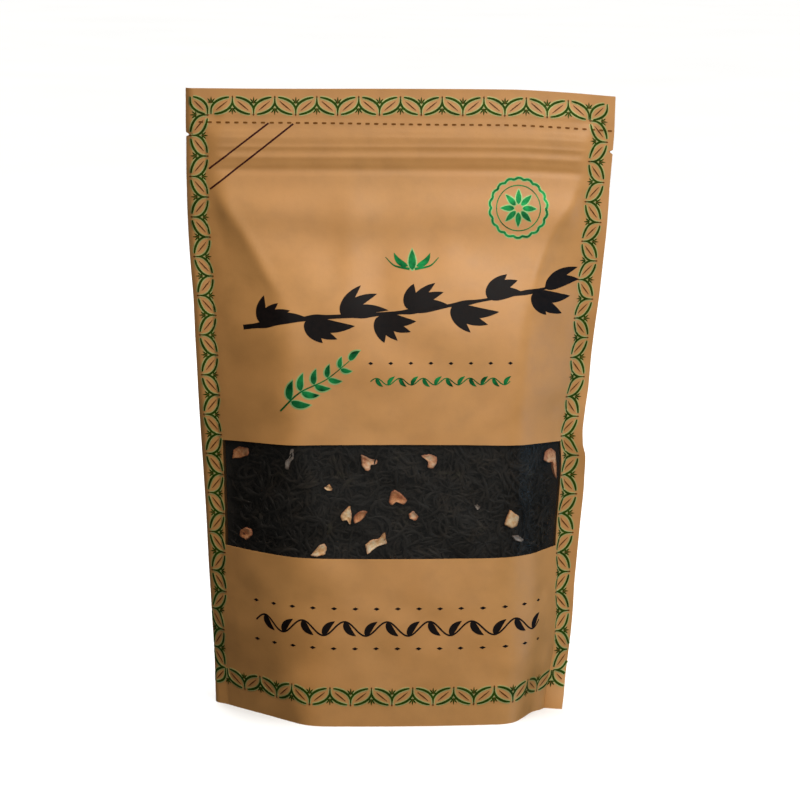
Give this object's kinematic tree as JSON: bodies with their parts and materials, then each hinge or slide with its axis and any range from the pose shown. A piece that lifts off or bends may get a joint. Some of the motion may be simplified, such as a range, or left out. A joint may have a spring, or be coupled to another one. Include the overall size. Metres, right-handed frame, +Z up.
{
  "type": "filled stand-up zipper pouch of citron tea",
  "caption": "Kraft stand-up pouch with a leaf border and a press-to-close zipper, filled with dark twisted tea and dried citron pieces seen through a clear window.",
  "frame": {"origin": "middle of the base, on the surface that the pouch stands on", "axes": "+Z up, front panel with its window facing -Y, +X to the right seen from the front"},
  "size_m": [0.2012, 0.075, 0.298],
  "materials": {
    "kraft_front": "satin laminated kraft",
    "kraft_back": "satin laminated kraft",
    "kraft_gusset": "satin laminated kraft",
    "clear_film": "clear glossy film",
    "zip_plastic": "translucent moulded",
    "dark_tea": "dry rolled leaf",
    "citron_peel": "dried peel and pith"
  },
  "bodies": {
    "root": {"front_panel": "kraft_front", "back_panel": "kraft_back", "bottom_gusset": "kraft_gusset", "window_film": "clear_film", "zipper_rib_strip": "zip_plastic", "zipper_groove_strip": "zip_plastic", "tea_fill": "dark_tea", "citron_piece_01": "citron_peel", "citron_piece_02": "citron_peel", "citron_piece_03": "citron_peel", "citron_piece_04": "citron_peel", "citron_piece_05": "citron_peel", "citron_piece_06": "citron_peel", "citron_piece_07": "citron_peel", "citron_piece_08": "citron_peel", "citron_piece_09": "citron_peel", "citron_piece_10": "citron_peel", "citron_piece_11": "citron_peel", "citron_piece_12": "citron_peel", "citron_piece_13": "citron_peel", "citron_piece_14": "citron_peel", "citron_piece_15": "citron_peel", "citron_piece_16": "citron_peel"}
  },
  "joints": []
}
